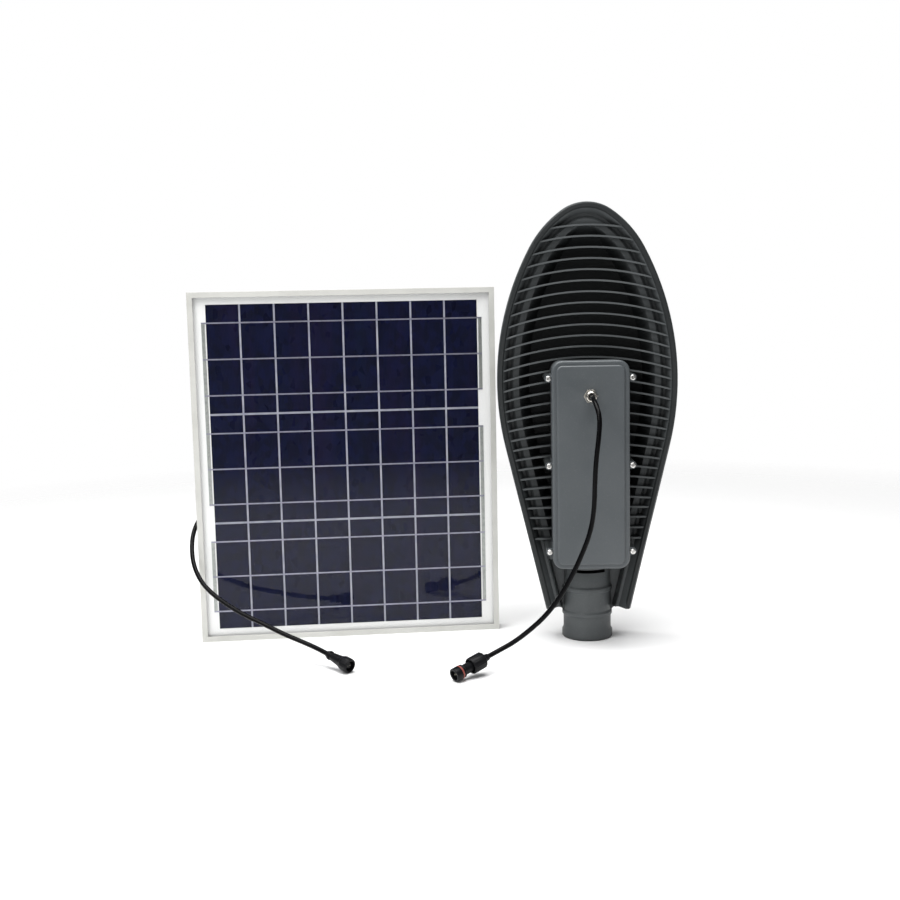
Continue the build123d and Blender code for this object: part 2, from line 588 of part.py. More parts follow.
def rear_cover():
    """Battery box cover with rounded edges and six screw lugs, its gasket and its screws."""
    low = TUB_REAR + COVER_GASKET_T
    cover = tray(COVER_W, COVER_H, (low, COVER_STEP), COVER_CORNER_R)
    cover = fillet(cover.faces().sort_by(Axis.Y)[0].edges(), COVER_EDGE_R)
    field_w = COVER_W - 2 * FIELD_INSET
    field_h = COVER_H - 2 * FIELD_INSET
    field = tray(field_w, field_h, (COVER_STEP - 1, COVER_REAR), COVER_CORNER_R - FIELD_INSET)
    cover += fillet(field.faces().sort_by(Axis.Y)[0].edges(), FIELD_EDGE_R)
    inner = COVER_SHELL + 0.5
    hollow_r = COVER_CORNER_R - inner
    cover -= tray(COVER_W - 2 * inner, COVER_H - 2 * inner, (low - 1, COVER_STEP - COVER_SHELL), hollow_r)
    hollow_r -= FIELD_INSET
    cover -= tray(field_w - 2 * inner, field_h - 2 * inner, (low - 1, COVER_REAR - COVER_SHELL), hollow_r)
    screws = []
    for x, z in lug_spots():
        cover += extrude(rearward(x, z, low) * Circle(LUG_R), LUG_T)
        cover += slab(sorted((x, x * 0.9)), (-low - LUG_T, -low), (z - LUG_R, z + LUG_R))
        cover -= extrude(rearward(x, z, low - 1) * Circle(SCREW_R + 0.3), LUG_T + 2)
        screws.append(pan_screw(rearward(x, z, low + LUG_T), SCREW_R, SCREW_HEAD_R, SCREW_HEAD_H, 14.0))
    cover -= extrude(rearward(0, GLAND_Z, COVER_REAR - 8) * Circle(6.1), 10)
    save("rear_cover", head_place(cover))
    save("rear_cover_screws", head_place(Compound(children=screws)))
    gasket = tray(TUB_W - 0.6, TUB_H - 0.6, (TUB_REAR, low), TUB_CORNER_R)
    gasket -= tray(TUB_W - 5.4, TUB_H - 5.4, (TUB_REAR - 1, low + 1), TUB_CORNER_R - 2.4)
    save("rear_cover_gasket", head_place(gasket))


def pan_screw(spot, radius, head_r, head_h, length):
    """Pan-head screw with a cross recess; spot is the seat of the head, facing out."""
    head = extrude(Circle(head_r), head_h)
    head = fillet(head.faces().sort_by(Axis.Z)[-1].edges(), head_h * 0.6)
    for angle in (0, 90):
        head -= Pos(0, 0, head_h) * Rot(0, 0, angle) * Box(head_r * 1.1, head_r * 0.26, head_h * 0.9)
    shank = Pos(0, 0, -length) * Cylinder(radius, length, align=(Align.CENTER, Align.CENTER, Align.MIN))
    return spot * (head + shank)


def head_gland():
    """Nickel cable gland on the cover: body, dome nut, rubber seal and inner lock nut."""
    spot = rearward(0, GLAND_Z, COVER_REAR)
    body = hex_prism(17.0, 3.6) + Cylinder(6.0, 10.4, align=(Align.CENTER, Align.CENTER, Align.MIN))
    body += Pos(0, 0, -9) * Cylinder(6.0, 9, align=(Align.CENTER, Align.CENTER, Align.MIN))
    body -= Cylinder(4.4, 40)
    nut = turned(((0, 8.4), (5.2, 8.4), (9.2, 6.9), (10.0, 6.0)))
    dome = Pos(0, 0, 5.2) * Cylinder(9, 6, align=(Align.CENTER, Align.CENTER, Align.MIN))
    nut &= hex_prism(15.6, 5.2) + dome
    nut -= Pos(0, 0, -1) * Cylinder(6.05, 7.8, align=(Align.CENTER, Align.CENTER, Align.MIN))
    nut -= Cylinder(4.6, 40)
    seal = Pos(0, 0, 4.0) * (
        Cylinder(4.3, 9.0, align=(Align.CENTER, Align.CENTER, Align.MIN)) - Cylinder(CABLE_D / 2 + 0.1, 40)
    )
    lock = Pos(0, 0, -COVER_SHELL - 3.2) * (hex_prism(16.0, 3.0) - Cylinder(6.05, 10))
    save("gland_body", head_place(spot * body))
    save("gland_nut", head_place(spot * Pos(0, 0, 3.8) * nut))
    save("gland_seal", head_place(spot * seal))
    save("gland_lock_nut", head_place(spot * lock))


def light_side():
    """LED side: board, packages, lenses, glass, gasket, bezel, driver bay cover, screws and driver."""
    foot = WINDOW_FOOT_Z
    board_face = FLOOR[0] - 1.6
    save("led_board", head_place(plate(GROOVE_INSET + 3, (board_face, FLOOR[0]), foot=foot + 6)))
    packages = []
    lenses = plate(GROOVE_INSET + 6, LENS_SHEET, foot=foot + 9)
    for row, count in enumerate(LED_ROWS):
        z = foot + 34 + row * LED_ROW_PITCH
        for column in range(count):
            x = (column - (count - 1) / 2) * LED_PITCH
            packages.append(slab((x - 3.5, x + 3.5), (-board_face, -board_face + 0.9), (z - 3.5, z + 3.5)))
            dome = Pos(0, 0, LENS_RISE - LENS_R) * Sphere(LENS_R) & Pos(0, 0, 5) * Box(20, 20, 10)
            lenses += Plane(origin=(x, -LENS_SHEET[0] - 0.1, z), z_dir=(0, 1, 0)) * dome
    save("led_packages", head_place(Compound(children=packages)))
    save("lens_sheet", head_place(lenses))
    save("front_glass", head_place(plate(GLASS_INSET, GLASS_DEPTH, foot=foot - 2)))
    gasket = plate(GLASS_INSET, (GLASS_DEPTH[1], GLASS_DEPTH[1] + 0.6), foot=foot - 2)
    gasket -= plate(POCKET_INSET, (-30, 30), foot=foot + 1.5)
    save("front_glass_gasket", head_place(gasket))
    bezel = plate(BEZEL_INSET[0], BEZEL_DEPTH, foot=BAY_TOP_Z)
    bezel -= plate(BEZEL_INSET[1], (-30, 30), foot=foot + 8)
    bay = plate(POCKET_INSET - 4, BEZEL_DEPTH, foot=BAY_FOOT_Z - 2)
    bay -= slab((-200, 200), (-60, 60), (BAY_TOP_Z - 1, 700))
    for x, z in bezel_spots():
        bezel -= extrude(rearward(x, z, -30) * Circle(FACE_SCREW_R + 0.2), 30)
    for x, z in bay_spots():
        bay -= extrude(rearward(x, z, -30) * Circle(FACE_SCREW_R + 0.2), 30)
    save("front_bezel", head_place(bezel))
    save("driver_bay_cover", head_place(bay))
    screws = [face_screw(x, z) for x, z in bezel_spots() + bay_spots()]
    save("front_screws", head_place(Compound(children=screws)))
    driver = slab((-24, 24), (-BAY_ROOF, 17), (142, 232))
    save("led_driver", head_place(fillet(driver.edges().filter_by(Axis.Y), 3.0)))


def bezel_spots():
    """Screw places round the bezel, on the outline 5 mm in from the edge."""
    spots = []
    x, z, heading = 0.0, TIP_Z - 5.0, 0.0
    for radius, turn in HEAD_ARCS:
        r = radius - 5.0
        for share in (0.5, 1.0) if radius < 300 else (0.35, 0.7):
            angle = heading + turn * share
            px = x + r * (sin(radians(angle)) - sin(radians(heading)))
            pz = z - r * (cos(radians(heading)) - cos(radians(angle)))
            spots += [(px, pz), (-px, pz)]
        x += r * (sin(radians(heading + turn)) - sin(radians(heading)))
        z -= r * (cos(radians(heading)) - cos(radians(heading + turn)))
        heading += turn
    return spots


def bay_spots():
    """Screw places at the corners of the driver bay's cover."""
    return [(-95, BAY_TOP_Z - 6), (95, BAY_TOP_Z - 6), (-68, BAY_FOOT_Z + 1), (68, BAY_FOOT_Z + 1)]


def face_screw(x, z):
    """Countersunk-size pan screw that fastens a cover on the LED side."""
    spot = Plane(origin=(x, -BEZEL_DEPTH[0], z), x_dir=(1, 0, 0), z_dir=(0, 1, 0))
    return pan_screw(spot, 1.5, 2.8, 1.6, 6.0)


def battery_and_controller():
    """Battery cells in holders with nickel strips, and the charge controller above them."""
    cells = []
    strips = []
    top_of_cells = BATTERY_DEPTH + CELL_R
    for z in BATTERY_ROWS:
        for step in (-1, 0, 1):
            can = Cylinder(CELL_R, BATTERY_CELL_LENGTH, align=(Align.CENTER, Align.CENTER, Align.MIN))
            cells.append(Pos(step * BATTERY_PITCH, -BATTERY_DEPTH, z) * can)
        for end in (z - 0.3, z + BATTERY_CELL_LENGTH):
            strips.append(slab((-40, 40), (-BATTERY_DEPTH - 4, -BATTERY_DEPTH + 4), (end, end + 0.3)))
    save("battery_cells", head_place(Compound(children=cells)))
    save("battery_strips", head_place(Compound(children=strips)))
    plates = []
    below = [BATTERY_ROWS[0] - 4.0, BATTERY_ROWS[1] - 4.2, BATTERY_ROWS[2] - 4.2]
    for z in below + [BATTERY_ROWS[2] + BATTERY_CELL_LENGTH + 1]:
        plates.append(slab((-47, 47), (-top_of_cells - 5, -TUB_FLOOR[1] - 0.2), (z, z + 3)))
    save("battery_holders", head_place(Compound(children=plates)))
    board_y = -(top_of_cells + 5)
    board = slab((-42, 42), (board_y - 1.6, board_y), (BATTERY_ROWS[0] - 2, BATTERY_ROWS[2] - 2))
    save("controller_board", head_place(board))
    face = board_y - 1.6
    parts = []
    for z in (165, 182):
        can = Plane(origin=(26, face, z), z_dir=(0, -1, 0)) * extrude(Circle(5.0), 14)
        parts.append(can)
    coil = Plane(origin=(-20, face, 175), z_dir=(0, -1, 0)) * extrude(Circle(11.0) - Circle(5.0), 9)
    parts.append(coil)
    for x in (-24, -8, 8, 24):
        parts.append(slab((x - 5, x + 5), (face - 4.5, face), (205, 221)))
    save("controller_components", head_place(Compound(children=parts)))
    block = slab((-22, 22), (face - 11, face), (258, 270))
    for x in (-16.5, -5.5, 5.5, 16.5):
        block -= slab((x - 3.5, x + 3.5), (face - 8, face - 3), (262, 271))
    save("terminal_block", head_place(block))


def pole_bolts():
    """Two hexagon bolts that clamp the pole from the LED side."""
    names = ("lower", "upper")
    for name, height in zip(names, BOLT_HEIGHTS):
        head = hex_prism(BOLT_ACROSS_FLATS, BOLT_HEAD[0] - BOLT_HEAD[1])
        head = head & turned(((0, 7.6), (4.4, 7.6), (5.5, 6.4)))
        spot = Plane(origin=(0, -BOLT_HEAD[0], height), z_dir=(0, 1, 0))
        shank = extrude(Circle(BOLT_R), BOLT_TIP - BOLT_HEAD[0])
        bolt = spot * head + Plane(origin=(0, -BOLT_HEAD[0], height), z_dir=(0, -1, 0)) * shank
        save(f"{name}_pole_bolt", head_place(bolt))


# ---- Connectors, turned about their own axis from the nose to the cable ----
def ribs(count, radius, rib_r, z):
    """Round ribs along the outside of a turned part."""
    bars = []
    for index in range(count):
        bars.append(Rot(0, 0, 360 * index / count) * Pos(radius, 0, z[0]) * Cylinder(
            rib_r, z[1] - z[0], align=(Align.CENTER, Align.CENTER, Align.MIN)
        ))
    return bars


def panel_plug():
    """Panel-side connector: wide ribbed barrel, tapered body and a collar at the cable."""
    spot = along(PANEL_PLUG_NOSE, PANEL_PLUG_AXIS)
    body = turned((
        (0, 9.0), (0.8, 9.6), (13.4, 9.6), (14.4, 8.8), (21.0, 7.2), (33.0, 5.8), (33.5, 4.9),
        (36.5, 4.9), (37.0, 6.2), (40.0, 6.2), (40.6, 5.0), (PANEL_PLUG_LENGTH, 4.4),
    ))
    body += ribs(12, 9.0, 0.9, (1.5, 12.5))
    body -= Cylinder(7.6, 12.0, align=(Align.CENTER, Align.CENTER, Align.MIN))
    body += Pos(0, 0, 2.5) * Cylinder(3.4, 10.5, align=(Align.CENTER, Align.CENTER, Align.MIN))
    for side in (-1, 1):
        body -= Pos(side * 1.7, 0, 1.5) * Cylinder(0.75, 8.5, align=(Align.CENTER, Align.CENTER, Align.MIN))
    bore = Pos(0, 0, PANEL_PLUG_LENGTH - CABLE_SEAT) * Cylinder(
        CABLE_D / 2 + 0.1, CABLE_SEAT + 1, align=(Align.CENTER, Align.CENTER, Align.MIN)
    )
    save("panel_plug_body", spot * (body - bore))
    sockets = []
    for side in (-1, 1):
        tube = Cylinder(0.7, 7.0, align=(Align.CENTER, Align.CENTER, Align.MIN)) - Cylinder(0.45, 30)
        sockets.append(Pos(side * 1.7, 0, 2.9) * tube)
    save("panel_plug_sockets", spot * Compound(children=sockets))


def head_plug():
    """Lamp-side connector: end flange, O-ring, neck, union nut and tapered strain relief."""
    spot = along(HEAD_PLUG_NOSE, HEAD_PLUG_AXIS)
    body = turned((
        (0, 8.6), (0.6, 9.2), (8.6, 9.2), (9.2, 8.6), (9.2, 7.3), (12.2, 7.3), (12.2, 8.8), (14.6, 8.8),
        (16.0, 7.0), (49.5, 7.0), (50.5, 5.6), (HEAD_PLUG_LENGTH, 4.5),
    ))
    body -= Cylinder(6.6, 11.0, align=(Align.CENTER, Align.CENTER, Align.MIN))
    body -= Pos(0, 0, HEAD_PLUG_LENGTH - CABLE_SEAT) * Cylinder(
        CABLE_D / 2 + 0.1, CABLE_SEAT + 1, align=(Align.CENTER, Align.CENTER, Align.MIN)
    )
    save("head_plug_body", spot * body)
    ring = Pos(0, 0, 10.7) * Torus(8.0, 1.2)
    ring &= Pos(0, 0, 9.3) * (
        Cylinder(12, 2.8, align=(Align.CENTER, Align.CENTER, Align.MIN)) - Cylinder(7.35, 30)
    )
    save("head_plug_o_ring", spot * ring)
    pins = []
    for side in (-1, 1):
        pin = Cylinder(0.65, 8.0, align=(Align.CENTER, Align.CENTER, Align.MIN))
        pins.append(Pos(side * 1.7, 0, 3.0) * pin)
    save("head_plug_pins", spot * Compound(children=pins))
    nut = turned(((28.0, 10.3), (29.0, 10.9), (48.0, 10.9), (49.2, 10.0)))
    nut += ribs(10, 10.3, 1.0, (30.0, 47.5))
    nut -= Pos(0, 0, 27) * Cylinder(9.5, 16.0, align=(Align.CENTER, Align.CENTER, Align.MIN))
    nut -= Cylinder(7.3, 200)
    save("union_nut", spot * nut)


def build():
    """Make every sub-part and write one file for each."""
    frame_rails()
    corner_keys()
    laminate()
    junction_box()
    head_housing()
    rear_cover()
    head_gland()
    light_side()
    battery_and_controller()
    pole_bolts()
    panel_plug()
    head_plug()
    save("panel_cable", cable("panel_cable", PANEL_ROUTE))
    save("head_cable", cable("head_cable", HEAD_ROUTE))
    os.makedirs("parts", exist_ok=True)
    for name, shape in nodes.items():
        export_step(shape, f"parts/{name}.step")
    print(len(nodes), "nodes")


build()
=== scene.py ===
import json
import math

import bmesh
import bpy
import mathutils
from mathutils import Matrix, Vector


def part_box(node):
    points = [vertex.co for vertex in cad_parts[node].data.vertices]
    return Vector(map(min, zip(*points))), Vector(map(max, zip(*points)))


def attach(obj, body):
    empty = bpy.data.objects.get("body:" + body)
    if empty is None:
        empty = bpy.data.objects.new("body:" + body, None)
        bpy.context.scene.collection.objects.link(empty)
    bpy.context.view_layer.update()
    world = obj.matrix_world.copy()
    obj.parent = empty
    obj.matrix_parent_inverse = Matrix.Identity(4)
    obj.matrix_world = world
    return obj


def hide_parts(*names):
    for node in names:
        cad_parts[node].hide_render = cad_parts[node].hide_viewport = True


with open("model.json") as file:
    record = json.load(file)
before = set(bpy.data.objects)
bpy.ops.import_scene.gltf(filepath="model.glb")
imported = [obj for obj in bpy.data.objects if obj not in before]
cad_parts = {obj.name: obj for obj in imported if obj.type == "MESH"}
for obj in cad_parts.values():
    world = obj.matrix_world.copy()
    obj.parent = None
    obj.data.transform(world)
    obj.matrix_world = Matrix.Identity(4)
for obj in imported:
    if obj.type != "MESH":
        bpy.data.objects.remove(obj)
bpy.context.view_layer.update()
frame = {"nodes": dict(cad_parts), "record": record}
NODES = frame["nodes"]
MM = 0.001

CAMERA_POINT = (-0.1214, -1.5797, 0.4745)
CAMERA_YAW = -5.129
CAMERA_PITCH = -6.949
CAMERA_ROLL = -1.183
CAMERA_LENS = 45.19
SENSOR_WIDTH = 36.0


def make_camera():
    data = bpy.data.cameras.new("camera")
    data.lens = CAMERA_LENS
    data.sensor_width = SENSOR_WIDTH
    camera = bpy.data.objects.new("camera", data)
    bpy.context.scene.collection.objects.link(camera)
    turn = mathutils.Matrix.Rotation(math.radians(CAMERA_YAW), 4, "Z")
    tilt = mathutils.Matrix.Rotation(math.radians(90.0 + CAMERA_PITCH), 4, "X")
    roll = mathutils.Matrix.Rotation(math.radians(CAMERA_ROLL), 4, "Z")
    camera.matrix_world = mathutils.Matrix.Translation(CAMERA_POINT) @ turn @ tilt @ roll
    bpy.context.scene.camera = camera


# ---- Cords: one NURBS line each, from the gland to the connector, in millimetres ----
CABLE_DIAMETER = 0.0065
CABLE_ROUNDNESS = 8
CABLE_STEPS = 16
CABLE_ORDER = 3
PANEL_ROUTE = [
    (-227.0, 78.0, 291.0), (-227.5, 78.5, 265.0), (-236.0, 83.0, 241.0), (-256.5, 91.5, 226.0),
    (-282.0, 98.5, 217.0), (-309.0, 103.0, 207.0), (-331.0, 105.0, 192.5), (-347.0, 99.5, 177.0),
    (-354.0, 85.0, 160.0), (-354.5, 66.0, 143.0), (-351.0, 47.0, 123.0), (-341.0, 28.0, 104.0),
    (-325.0, 12.5, 88.0), (-301.0, -2.0, 72.5), (-275.0, -15.0, 59.0), (-247.0, -30.5, 49.0),
    (-219.0, -47.0, 38.0), (-192.0, -61.0, 29.5), (-171.8, -74.2, 23.2), (-156.62, -89.38, 18.46),
]
HEAD_ROUTE = [
    (205.1, -87.0, 358.0), (202.9, -103.0, 358.0), (202.8, -124.0, 351.5), (205.0, -138.5, 334.0),
    (202.5, -142.0, 309.0), (199.0, -141.0, 280.0), (197.5, -139.5, 249.0), (197.0, -138.5, 217.0),
    (192.5, -137.5, 185.5), (181.5, -137.0, 156.0), (167.5, -137.0, 126.5), (149.5, -137.5, 96.0),
    (129.5, -136.5, 71.0), (108.5, -133.5, 52.0), (88.0, -131.5, 36.5), (66.5, -134.1, 26.7),
    (48.43, -145.48, 21.62),
]


def cable(name, route, body, node, material):
    """A free cable as one smooth curve whose control points are the route's points."""
    curve = bpy.data.curves.new(name, "CURVE")
    curve.dimensions = "3D"
    curve.bevel_depth = CABLE_DIAMETER / 2
    curve.bevel_resolution = CABLE_ROUNDNESS
    curve.resolution_u = CABLE_STEPS
    curve.use_fill_caps = True
    spline = curve.splines.new("NURBS")
    spline.points.add(len(route) - 1)
    for point, (x, y, z) in zip(spline.points, route):
        point.co = (x * MM, y * MM, z * MM, 1.0)
    spline.order_u = CABLE_ORDER
    spline.use_endpoint_u = True
    curve.materials.append(material)
    piece = bpy.data.objects.new(name, curve)
    bpy.context.scene.collection.objects.link(piece)
    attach(piece, body)
    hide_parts(node)


# ---- Materials ----
# Sockets of the Mix node that carry its factor and its colours.
MIX_FACTOR, MIX_FIRST, MIX_SECOND, MIX_RESULT = 0, 6, 7, 2


class Paint:
    """A node tree with one Principled shader and short ways to add to it."""

    def __init__(self, name, colour, roughness=0.5, metallic=0.0):
        self.material = bpy.data.materials.new(name)
        self.material.use_nodes = True
        self.tree = self.material.node_tree
        self.shader = self.tree.nodes["Principled BSDF"]
        self.shader.inputs["Base Color"].default_value = (*colour, 1.0)
        self.shader.inputs["Roughness"].default_value = roughness
        self.shader.inputs["Metallic"].default_value = metallic
        self.place = self.add("ShaderNodeTexCoord").outputs["Object"]

    @classmethod
    def of(cls, material):
        """More paint on a material that is made already."""
        paint = cls.__new__(cls)
        paint.material = material
        paint.tree = material.node_tree
        paint.shader = paint.tree.nodes["Principled BSDF"]
        paint.place = paint.add("ShaderNodeTexCoord").outputs["Object"]
        return paint

    def add(self, kind, **values):
        node = self.tree.nodes.new(kind)
        for key, value in values.items():
            if key in node.inputs:
                node.inputs[key].default_value = value
            else:
                setattr(node, key, value)
        return node

    def link(self, source, target):
        self.tree.links.new(source, target)

    def stretched(self, x, y, z):
        """The object's coordinates scaled along each axis."""
        mapping = self.add("ShaderNodeMapping", Scale=(x, y, z))
        self.link(self.place, mapping.inputs["Vector"])
        return mapping.outputs["Vector"]

    def noise(self, scale, detail=4.0, roughness=0.55, place=None):
        node = self.add("ShaderNodeTexNoise", Scale=scale, Detail=detail, Roughness=roughness)
        self.link(place or self.place, node.inputs["Vector"])
        return node.outputs["Fac"]

    def span(self, value, low, high, start=0.0, end=1.0):
        """The value moved from one range to another, clamped."""
        node = self.add("ShaderNodeMapRange")
        node.inputs["From Min"].default_value = start
        node.inputs["From Max"].default_value = end
        node.inputs["To Min"].default_value = low
        node.inputs["To Max"].default_value = high
        self.link(value, node.inputs["Value"])
        return node.outputs["Result"]

    def math(self, operation, a, b=0.0):
        node = self.add("ShaderNodeMath", operation=operation)
        for socket, value in zip(node.inputs, (a, b)):
            if isinstance(value, (int, float)):
                socket.default_value = value
            else:
                self.link(value, socket)
        return node.outputs[0]

    def blend(self, factor, first, second):
        """Mix of two colours, each a socket or three numbers."""
        node = self.add("ShaderNodeMix", data_type="RGBA")
        self.link(factor, node.inputs[MIX_FACTOR])
        for socket, value in ((node.inputs[MIX_FIRST], first), (node.inputs[MIX_SECOND], second)):
            if isinstance(value, tuple):
                socket.default_value = (*value, 1.0)
            else:
                self.link(value, socket)
        return node.outputs[MIX_RESULT]

    def colour(self, source):
        self.link(source, self.shader.inputs["Base Color"])

    def roughness(self, source):
        self.link(source, self.shader.inputs["Roughness"])

    def bump(self, height, strength, distance):
        node = self.add("ShaderNodeBump", Strength=strength, Distance=distance)
        self.link(height, node.inputs["Height"])
        self.link(node.outputs["Normal"], self.shader.inputs["Normal"])

    def set(self, **values):
        for key, value in values.items():
            self.shader.inputs[key.replace("_", " ")].default_value = value


DUST = (0.42, 0.43, 0.43)
# Near-black colour painted into the housing as shade, down between the fins and on its rim.
PAINTED_SHADE_COLOUR = (0.004, 0.005, 0.005)


def powder_coat(name, dark, light, roughness, grain=1100.0, dust=0.10):
    """Fine-textured powder coat with slow colour drift and a little dust."""
    paint = Paint(name, dark, roughness)
    drift = paint.span(paint.noise(14.0, 5.0), 0.0, 1.0, 0.32, 0.70)
    base = paint.blend(drift, dark, light)
    specks = paint.span(paint.noise(520.0, 2.0), 0.0, dust, 0.58, 0.72)
    paint.colour(paint.blend(specks, base, DUST))
    paint.roughness(paint.span(paint.noise(60.0, 6.0), roughness - 0.07, roughness + 0.10, 0.3, 0.7))
    paint.bump(paint.noise(grain, 3.0, 0.6), 0.30, 0.0003)
    return paint.material


# The lamp head's middle line and turn, and the depths behind that line where the rim stands.
HEAD_ORIGIN = (0.2186, 0.0132)
HEAD_YAW = math.radians(-7.7)
RIM_DEPTH = (0.0270, 0.0278)
RIM_SHADE = 0.75
BOX_HALF_WIDTH = 0.054
BOX_TOP = 0.41
GAP_DISTANCE = 0.045
GAP_RAYS = 8
GAP_SHADE = 0.25
GAP_OPENNESS = (0.15, 0.80)
HOUSING_SHINE = 0.22


def cast_housing(name, dark, light, roughness):
    """The housing's coat, with painted shade: darker down between the fins and on the rim that stands
    beyond them.
    """
    material = powder_coat(name, dark, light, roughness, dust=0.05)
    paint = Paint.of(material)
    coat = paint.shader.inputs["Base Color"].links[0].from_socket
    axes = paint.add("ShaderNodeSeparateXYZ")
    paint.link(paint.place, axes.inputs["Vector"])
    east = paint.math("SUBTRACT", axes.outputs["X"], HEAD_ORIGIN[0])
    north = paint.math("SUBTRACT", axes.outputs["Y"], HEAD_ORIGIN[1])
    across = paint.math(
        "ADD", paint.math("MULTIPLY", east, math.cos(HEAD_YAW)),
        paint.math("MULTIPLY", north, math.sin(HEAD_YAW)),
    )
    rearward = paint.math(
        "SUBTRACT", paint.math("MULTIPLY", east, math.sin(HEAD_YAW)),
        paint.math("MULTIPLY", north, math.cos(HEAD_YAW)),
    )
    beside_box = paint.math("GREATER_THAN", paint.math("ABSOLUTE", across), BOX_HALF_WIDTH)
    above_box = paint.math("GREATER_THAN", axes.outputs["Z"], BOX_TOP)
    # Painted shade on the rim: darker behind RIM_DEPTH, beside and above the box.
    rim = paint.span(rearward, 0.0, RIM_SHADE, *RIM_DEPTH)
    rim = paint.math("MULTIPLY", rim, paint.math("MAXIMUM", beside_box, above_box))
    # Painted shade between the fins: an ambient occlusion mask darkens the coat where it is closed in.
    gap = paint.add("ShaderNodeAmbientOcclusion", Distance=GAP_DISTANCE, samples=GAP_RAYS)
    deep = paint.span(gap.outputs["AO"], GAP_SHADE, 1.0, *GAP_OPENNESS)
    shade = paint.math("MULTIPLY", deep, paint.math("SUBTRACT", 1.0, rim))
    paint.colour(paint.blend(shade, PAINTED_SHADE_COLOUR, coat))
    paint.set(Specular_IOR_Level=HOUSING_SHINE)
    return material


def moulded(name, dark, light, roughness, grain=1500.0, shine=0.5):
    """Moulded plastic: faint flow marks and a spark-eroded skin."""
    paint = Paint(name, dark, roughness)
    flow = paint.span(paint.noise(9.0, 3.0, place=paint.stretched(1.0, 1.0, 4.0)), 0.0, 1.0, 0.35, 0.7)
    paint.colour(paint.blend(flow, dark, light))
    paint.roughness(paint.span(paint.noise(90.0, 5.0), roughness - 0.06, roughness + 0.08, 0.3, 0.7))
    paint.bump(paint.noise(grain, 2.0), 0.22, 0.0002)
    paint.set(Specular_IOR_Level=shine)
    return paint.material


def rubber(name, dark, light, roughness=0.62, shine=0.5):
    """Rubber or soft PVC: faint bloom, fine skin and a soft sheen."""
    paint = Paint(name, dark, roughness)
    bloom = paint.span(paint.noise(35.0, 6.0), 0.0, 1.0, 0.4, 0.75)
    paint.colour(paint.blend(bloom, dark, light))
    paint.roughness(paint.span(paint.noise(150.0, 4.0), roughness - 0.1, roughness + 0.08, 0.3, 0.7))
    paint.bump(paint.noise(900.0, 3.0), 0.25, 0.0002)
    paint.set(Specular_IOR_Level=shine)
    return paint.material


def plated(name, bright, worn, roughness, streak=(300.0, 300.0, 30.0)):
    """Metal with fine machining streaks and duller patches."""
    paint = Paint(name, bright, roughness, 1.0)
    patches = paint.span(paint.noise(220.0, 5.0), 0.0, 1.0, 0.45, 0.75)
    paint.colour(paint.blend(patches, bright, worn))
    lines = paint.noise(4.0, 3.0, place=paint.stretched(*streak))
    paint.roughness(paint.span(lines, roughness - 0.06, roughness + 0.14, 0.3, 0.7))
    paint.bump(lines, 0.12, 0.0001)
    return paint.material


def anodised(name, pale, shade, roughness):
    """Extruded rail: satin surface, long faint draw lines and slight soiling."""
    paint = Paint(name, pale, roughness)
    soil = paint.span(paint.noise(22.0, 6.0), 0.0, 1.0, 0.42, 0.80)
    paint.colour(paint.blend(soil, pale, shade))
    paint.roughness(paint.span(paint.noise(70.0, 4.0), roughness - 0.08, roughness + 0.10, 0.3, 0.7))
    paint.bump(paint.noise(260.0, 2.0, place=paint.stretched(1.0, 6.0, 1.0)), 0.08, 0.0001)
    paint.set(Coat_Weight=0.15)
    return paint.material


GRAIN_SCALE = 120.0
FINGER_SCALE = 159.0
FINGER_SHARE = 0.035
CELL_BLUE = ((0.0012, 0.0022, 0.013), (0.0024, 0.0040, 0.024))
CELL_PURPLE = (0.0075, 0.0045, 0.024)
CELL_GREEN = (0.0030, 0.0080, 0.019)
FINGER_SILVER = (0.16, 0.17, 0.26)


def crystal_cells(name):
    """Polycrystalline silicon: blue grains, tints that run down the cells and fine collector lines."""
    paint = Paint(name, (0.004, 0.006, 0.020), 0.32)
    grains = paint.add("ShaderNodeTexVoronoi", Scale=GRAIN_SCALE, feature="F1")
    paint.link(paint.stretched(1.0, 0.2, 0.65), grains.inputs["Vector"])
    split = paint.add("ShaderNodeSeparateColor")
    paint.link(grains.outputs["Color"], split.inputs["Color"])
    shade = paint.span(split.outputs["Red"], 0.0, 1.0, 0.1, 0.9)
    blue = paint.blend(shade, *CELL_BLUE)
    streaks = paint.noise(38.0, 3.0, place=paint.stretched(1.0, 1.0, 0.07))
    purple = paint.blend(paint.span(streaks, 0.0, 0.7, 0.52, 0.75), blue, CELL_PURPLE)
    green = paint.noise(30.0, 3.0, place=paint.stretched(1.3, 1.0, 0.05))
    tinted = paint.blend(paint.span(green, 0.0, 0.5, 0.58, 0.78), purple, CELL_GREEN)
    lines = paint.add("ShaderNodeTexWave", Scale=FINGER_SCALE, wave_type="BANDS", bands_direction="X")
    paint.link(paint.place, lines.inputs["Vector"])
    finger = paint.span(lines.outputs["Fac"], 0.0, FINGER_SHARE, 0.90, 0.99)
    paint.colour(paint.blend(finger, tinted, FINGER_SILVER))
    paint.roughness(paint.span(split.outputs["Green"], 0.26, 0.42))
    paint.bump(split.outputs["Blue"], 0.05, 0.00015)
    paint.set(Specular_IOR_Level=0.08)
    return paint.material


GLASS_IOR = 1.45


